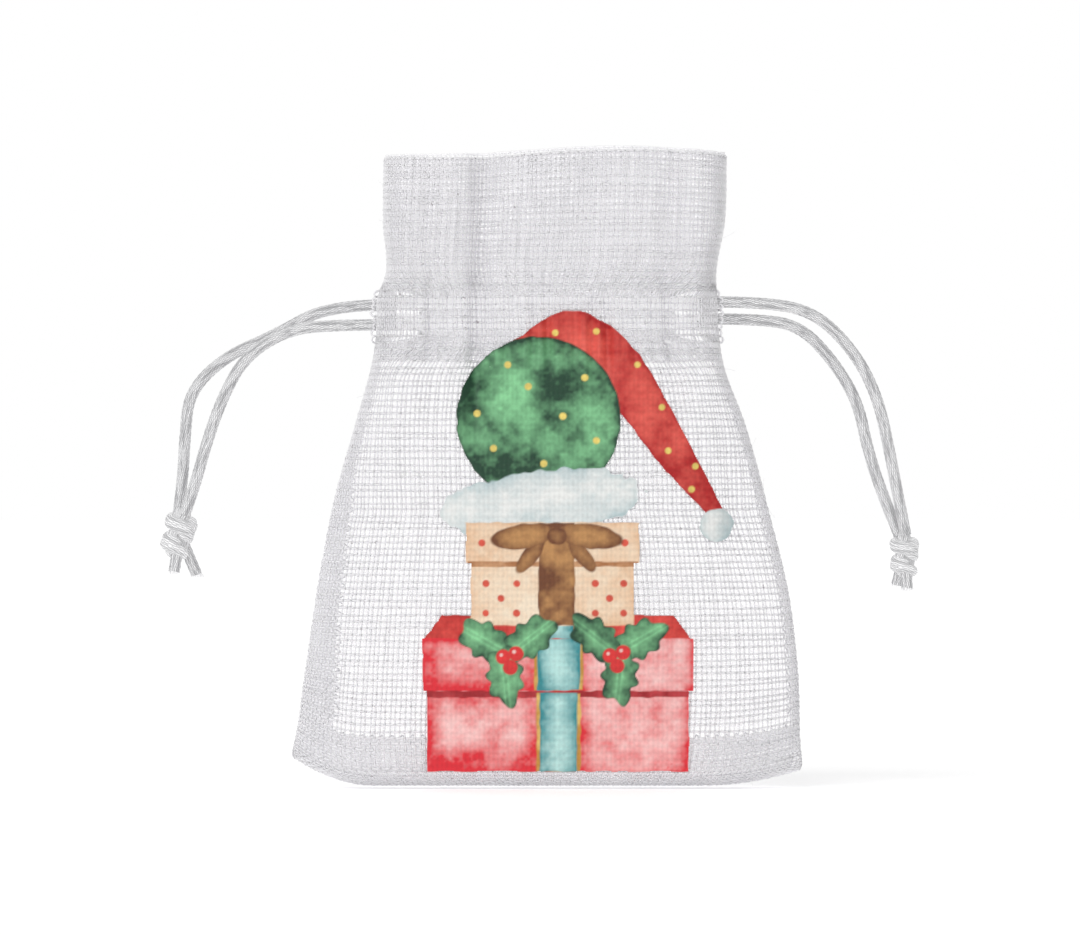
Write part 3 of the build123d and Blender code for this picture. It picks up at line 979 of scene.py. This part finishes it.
# Paints, from where the pigment pools to where it is washed out.
RED = ((0.42, 0.004, 0.004), (0.93, 0.10, 0.075))
ROSE = ((0.74, 0.016, 0.03), (0.97, 0.60, 0.58))
SCARLET = ((0.44, 0.004, 0.006), (0.93, 0.15, 0.11))
WINE = ((0.34, 0.006, 0.012), (0.60, 0.05, 0.06))
GREEN = ((0.006, 0.050, 0.022), (0.27, 0.68, 0.33))
TEAL = ((0.03, 0.26, 0.29), (0.50, 0.80, 0.76))
GOLD = ((0.55, 0.27, 0.04), (0.90, 0.66, 0.22))
CREAM = ((0.80, 0.50, 0.30), (0.93, 0.78, 0.60))
TAN = ((0.42, 0.17, 0.06), (0.68, 0.38, 0.2))
CARAMEL = ((0.16, 0.05, 0.015), (0.52, 0.26, 0.09))
SNOW = ((0.46, 0.58, 0.60), (0.86, 0.87, 0.85))
YELLOW = (0.95, 0.74, 0.18)

# The presents: left, right, low and high edges.
BIG_BOX = (-18.8, 22.0, 2.6, 15.3)
BIG_LID = (-19.5, 22.7, 15.2, 23.5)
BIG_LID_TOP = (-19.5, 22.7, 23.0, 27.15)
BIG_LID_RIM = (-19.2, 22.4, 14.3, 15.3)
BIG_RIBBON = ((-1.2, 4.6, 2.6, 15.0), (-1.6, 5.0, 15.4, 23.4), (-0.4, 4.0, 23.5, 27.1))
SMALL_BOX = (-11.9, 13.4, 25.5, 36.6)
SMALL_LID = (-12.7, 14.3, 35.2, 41.5)
SMALL_LID_RIM = (-12.4, 14.0, 34.6, 35.4)
SMALL_RIBBON = (-1.4, 4.2, 25.5, 41.4)
BERRIES = (
    [(x, z) for z in (27.4, 32.0) for x in (-9.6, -4.8, 7.4, 11.8)]
    + [(x, 29.7) for x in (-7.2, 9.6)] + [(x, 38.3) for x in (-10.2, 12.0)]
)
# The bow: centre, radii, turn and seed of each loop and end, and of the knot last.
BOW = (
    ((-2.6, 36.4), (3.2, 1.2), 52.0, 157), ((5.4, 36.4), (3.2, 1.2), -52.0, 160),
    ((-3.8, 39.3), (4.9, 1.9), 8.0, 151), ((6.6, 39.3), (4.9, 1.9), -8.0, 154),
    ((1.4, 39.3), (1.5, 1.3), 0.0, 163),
)
# A sprig's leaves about its hub: across, up, turn and seed.
LEAVES = ((-3.6, 2.8, 150.0, 171), (3.2, 3.2, 38.0, 174), (-0.6, -2.6, 96.0, 177))
STREAMER_DOTS = (
    (1.2, 71.0), (7.6, 71.2), (14.0, 66.0), (10.2, 61.6), (17.8, 59.4), (18.8, 52.6), (23.0, 50.2),
    (22.4, 46.6),
)
BAUBLE_DOTS = (
    (-8.4, 53.0), (-3.0, 62.6), (-6.2, 66.0), (2.4, 58.0), (5.8, 64.0), (-11.0, 58.4), (-0.6, 50.6),
    (7.6, 54.2),
)


def box_edge(x, z, left, right, low, high):
    """How far outside a rectangle a place is; inside it is negative."""
    return np.maximum(np.maximum(left - x, x - right), np.maximum(low - z, z - high))


def oval_edge(x, z, centre, radii, turn=0.0):
    angle = math.radians(turn)
    dx, dz = x - centre[0], z - centre[1]
    along = (dx * math.cos(angle) + dz * math.sin(angle)) / radii[0]
    up = (dz * math.cos(angle) - dx * math.sin(angle)) / radii[1]
    return (np.hypot(along, up) - 1) * min(radii)


def streamer_edge(x, z):
    left, right = -6.0, 27.4
    top = smooth(x, (left, 3.0, 14.0, 21.0, right), (69.4, 74.4, 68.0, 56.0, 43.4))
    under = smooth(x, (left, 4.0, 10.0, 17.0, 25.2), (67.0, 66.0, 60.0, 51.0, 42.2))
    return np.maximum(np.maximum(z - top, under - z) * 0.6, np.maximum(left - x, x - right))


class Painting:
    """Washes of watercolour laid over each other on a field of places."""

    def __init__(self, x, z):
        self.x, self.z = x, z
        self.colour = np.full((*x.shape, 3), 0.86)
        self.edge = np.full(x.shape, 1e3)

    def wash(self, edge, paint, seed, rim=0.35, bloom=1.0, shade=None, wobble=0.25, outline=True):
        """Fills a shape: pigment pooled along its rim, pale blooms inside, and a shade from 0 to 1."""

        def spots(size, offset):
            return mottle(self.x, self.z, size, seed + offset)

        edge = edge + wobble * (spots(1.3, 1) - 0.5)
        cover = ramp(-edge, -0.12, 0.12)[..., None]
        flow = 0.45 * spots(4.2, 0) + 0.35 * spots(1.7, 2) + 0.2 * spots(0.8, 3)
        flow = np.clip(0.5 + bloom * (flow - 0.5) * 2.2, 0, 1)
        if shade is not None:
            flow = 0.5 * flow + 0.85 * shade - 0.18
        pool = np.exp(np.minimum(edge, 0) / 0.4) * rim
        grain = 0.30 * (0.6 * spots(0.42, 4) + 0.4 * spots(0.75, 5) - 0.5)
        flow = np.clip(flow - pool + grain, 0, 1)[..., None]
        dark, light = np.array(paint)
        self.colour = self.colour * (1 - cover) + (dark * (1 - flow) + light * flow) * cover
        if outline:
            self.edge = np.minimum(self.edge, edge)

    def box(self, sides, paint, seed, **look):
        self.wash(box_edge(self.x, self.z, *sides), paint, seed, **look)

    def oval(self, centre, radii, paint, seed, turn=0.0, **look):
        self.wash(oval_edge(self.x, self.z, centre, radii, turn), paint, seed, **look)

    def dots(self, places, radius, colour):
        paint = ([0.8 * part for part in colour], colour)
        for centre in places:
            self.oval(centre, (radius, radius), paint, seed=5, wobble=0.1, outline=False)


def paint_boxes(art):
    """A big present with a ribbon, and a small one with berries on top of it."""
    x, z = art.x, art.z
    left_pool = window(x, -16.6, -2.9, 1.4) * window(z, 6.4, 13.4, 1.8)
    pool = np.maximum(left_pool, 0.8 * window(x, 6.4, 21.0, 1.2))
    art.box(BIG_BOX, ROSE, seed=101, shade=0.10 + 0.72 * pool)
    slant = (np.abs(x - 1.6) - 19.4) * 0.8 + (z - 25.3) * 0.6
    art.wash(np.maximum(box_edge(x, z, *BIG_LID_TOP), slant), RED, seed=108, shade=np.full_like(x, 0.55))
    left_pool = 0.62 * window(x, -17.0, -2.6, 1.6) * window(z, 16.4, 22.4, 1.4)
    pool = np.maximum(left_pool, 0.8 * window(x, 6.0, 21.6, 1.4))
    art.box(BIG_LID, ROSE, seed=104, shade=0.14 + 0.80 * pool)
    art.box(BIG_LID_RIM, WINE, seed=111, outline=False)
    for left, right, low, high in BIG_RIBBON:
        middle = 1 - np.abs(x - (left + right) / 2) / 3.4
        art.box((left - 0.55, right + 0.55, low, high), GOLD, seed=113, outline=False)
        art.box((left, right, low, high), TEAL, seed=116, shade=middle, outline=False)
    speckle = mottle(x, z, 0.55, 120) * ramp(x, 6.0, 20.0) * (1 - ramp(z, 2.0, 15.0))
    art.colour = art.colour * (1 - 0.35 * ramp(speckle, 0.62, 0.74)[..., None] * np.array((0.1, 0.9, 0.8)))
    art.box(SMALL_BOX, CREAM, seed=131, shade=0.35 + 0.5 * hump(x, -3.0, 9.0))
    art.box(SMALL_LID, CREAM, seed=134, shade=0.3 + 0.5 * hump(x, 2.0, 8.0))
    art.box(SMALL_LID_RIM, TAN, seed=137, outline=False)
    art.box(SMALL_RIBBON, CARAMEL, seed=140, outline=False)
    art.dots(BERRIES, 0.55, (0.80, 0.10, 0.06))


def paint_bow(art):
    for centre, radii, turn, seed in BOW:
        shade = 0.3 + 0.6 * hump(oval_edge(art.x, art.z, centre, radii, turn), -1.4, 0.9)
        art.oval(centre, radii, CARAMEL, seed, turn, shade=shade, outline=False)


def paint_holly(art):
    """Two sprigs of holly on the lid, with berries that have a glint each."""
    x, z = art.x, art.z
    for hub_x, hub_z, flip in ((-6.0, 20.2, 1), (10.6, 20.4, -1)):
        for across, up, turn, seed in LEAVES:
            centre = (hub_x + flip * across, hub_z + up)
            angle = turn if flip > 0 else 180.0 - turn
            around = np.arctan2(z - centre[1], x - centre[0])
            edge = oval_edge(x, z, centre, (4.6, 2.7), angle) + 0.35 * np.cos(7 * around)
            vein = np.abs(oval_edge(x, z, centre, (9.0, 0.35), angle))
            art.wash(edge, GREEN, seed + flip, shade=0.35 + 0.5 * np.exp(-vein * 3), outline=False)
        for radius, colour, spots in (
            (1.15, (0.78, 0.03, 0.03), ((-0.9, 0.4), (1.1, 0.9), (0.2, -1.2))),
            (0.28, (0.95, 0.6, 0.55), ((-1.2, 0.7), (0.8, 1.2))),
        ):
            art.dots([(hub_x + across, hub_z + up) for across, up in spots], radius, colour)


def paint_bauble(art):
    """A dotted bauble with a streamer behind it, on a band of fleece."""
    x, z = art.x, art.z
    fall = np.clip((z - 42.0) / 32.0, 0, 1)
    glints = 0.55 * hump(x, 5.4, 3.6) * hump(z, 68.6, 3.4) + 0.42 * hump(x, 15.6, 2.4) * hump(z, 60.4, 5.0)
    shade = 0.30 + glints - 0.25 * hump(x, 10.4, 1.6) * hump(z, 60.0, 4.0) + 0.08 * fall
    art.wash(streamer_edge(x, z), SCARLET, seed=201, shade=shade, bloom=0.9, rim=0.5)
    art.dots(STREAMER_DOTS, 0.5, YELLOW)
    light = 0.18 + 0.62 * hump(x, -6.0, 5.0) * hump(z, 62.0, 6.0)
    light = light + 0.4 * hump(x, 5.5, 3.4) * hump(z, 55.0, 5.5)
    light = light + 0.16 * np.sin(0.55 * (x + 0.5 * z)) * hump(z, 58.0, 9.0)
    art.oval((-1.4, 57.6), (12.8, 12.8), GREEN, seed=211, shade=light, bloom=1.2, rim=0.6)
    art.dots(BAUBLE_DOTS, 0.55, YELLOW)
    fleece = oval_edge(x, z, (-1.0, 44.6), (15.6, 5.0), 7.0) + 0.5 * mottle(x, z, 1.1, 221) - 0.25
    art.wash(fleece, SNOW, seed=224, shade=0.45 + 0.5 * hump(z - 0.12 * x, 45.6, 2.6), wobble=0.6)
    light = 0.25 + 0.6 * hump(x, 25.6, 1.4)
    art.oval((26.3, 41.0), (2.7, 2.7), SNOW, seed=231, shade=light, wobble=0.5)


def build_print(film):
    """The picture on a film that lies over the front and shows a little of the weave."""
    # The steps divide the yarns' pitches, so that the film and the weave make no moire.
    x, z = np.meshgrid(np.arange(-20.4, 29.8, WARP_PITCH / 4), np.arange(2.2, 75.2, WEFT_PITCH / 6))
    art = Painting(x, z)
    paint_bauble(art)
    paint_boxes(art)
    paint_bow(art)
    paint_holly(art)
    weave_below = np.cos(2 * math.pi * x / WARP_PITCH) + np.cos(2 * math.pi * z / WEFT_PITCH)
    depth = depth_at(x, z, True) + FILM_LIFT + 0.02 * weave_below
    points = np.stack([x, -depth, level_at(x, z)], axis=-1).reshape(-1, 3)
    colours = np.clip(art.colour * (1 + 0.035 * weave_below[..., None]), 0, 1).reshape(-1, 3)
    number = np.arange(x.size).reshape(x.shape)
    corners = np.stack([number[:-1, :-1], number[:-1, 1:], number[1:, 1:], number[1:, :-1]], axis=-1)
    inside = (art.edge < 0.06).ravel()
    used, faces = np.unique(corners[inside[corners].all(axis=-1)], return_inverse=True)
    shape = (points[used], faces.reshape(-1, 4))
    return add_piece("painted_film", shape, film, "printed_motif", colours=colours[used])


# ---- the studio

# The lamps: name, power, how wide the sun is, how it is turned.
SUNS = (("key", 1.0, 40.0, (48.0, 0.0, -32.0)), ("rear", 0.34, 60.0, (-52.0, 0.0, 18.0)))


def build_studio():
    """A pale floor, white all round, and two soft suns."""
    reach = 6.0
    mesh = bpy.data.meshes.new("floor")
    corners = [(-reach, -reach, 0.0), (reach, -reach, 0.0), (reach, reach, 0.0), (-reach, reach, 0.0)]
    mesh.from_pydata(corners, [], [(0, 1, 2, 3)])
    shading = Shading("pale_floor", 0.9, glow=0.3)
    tone = shading.ramp(shading.noise(3.0), (0.2, (0.93, 0.93, 0.93)), (0.8, (0.95, 0.95, 0.95)))
    shading.fill(shading.shader, {"Base Color": tone, "Specular IOR Level": 0.0})
    mesh.materials.append(shading.material)
    floor = bpy.data.objects.new("floor", mesh)
    floor.location = (0.0, 0.0, cad_box[0][2] - 0.0002)
    bpy.context.collection.objects.link(floor)
    world = bpy.data.worlds.new("studio")
    bpy.context.scene.world = world
    world.use_nodes = True
    nodes, links = world.node_tree.nodes, world.node_tree.links
    seen = nodes.new("ShaderNodeLightPath")
    strength = nodes.new("ShaderNodeMapRange")
    strength.inputs["To Min"].default_value = 0.55
    strength.inputs["To Max"].default_value = 1.0
    links.new(seen.outputs["Is Camera Ray"], strength.inputs["Value"])
    links.new(strength.outputs["Result"], nodes["Background"].inputs["Strength"])
    nodes["Background"].inputs["Color"].default_value = (*WHITE, 1.0)
    for name, power, soft, turn in SUNS:
        light = bpy.data.lights.new(name, "SUN")
        light.energy = power
        light.angle = math.radians(soft)
        lamp = bpy.data.objects.new(name, light)
        lamp.rotation_euler = [math.radians(angle) for angle in turn]
        bpy.context.collection.objects.link(lamp)


# ---- everything

bpy.context.scene.view_settings.view_transform = "Standard"
add_camera()
# All three satins glow with painted light; the casing's copy also has less painted shade, and the knots'
# glows more.
build_cords(
    satin_material("cord_satin", 0.37, 0.12), satin_material("cord_satin_in_casing_painted_light", 0.80, 0.36),
    satin_material("cord_satin_knotted_painted_light", 0.35, 0.24),
)
front_panel, back_panel = Panel(True), Panel(False)
# The lining, back and inside copies are paler and glow: painted light standing for light through the yarn.
yarn = cloth_material("bleached_cloth", (0.90, 0.885, 0.92), (0.84, 0.825, 0.865), glow=0.0)
lining_yarn_painted_light = cloth_material("bleached_cloth_lining_painted_light", (0.92, 0.91, 0.94), (0.88, 0.87, 0.90), glow=0.14)
back_yarn_painted_light = cloth_material("bleached_cloth_back_painted_light", (0.92, 0.91, 0.935), (0.87, 0.86, 0.89), glow=0.01)
inside_yarn_painted_light = cloth_material("bleached_cloth_inside_painted_light", (0.94, 0.93, 0.95), (0.91, 0.90, 0.92), glow=0.34)
cloth_pieces, right_allowance = build_cloth(front_panel, back_panel, yarn, back_yarn_painted_light, lining_yarn_painted_light)
# The back panel's inward faces, seen through the front's holes, take the brightest copy: painted light.
second_material(cloth_pieces["back"], inside_yarn_painted_light, face_values(cloth_pieces["back"], "normal")[:, 1] < 0)
build_threads(front_panel, back_panel, thread_material())
fibres = build_fibres(front_panel, back_panel, yarn)
picture = build_print(print_material())
build_studio()
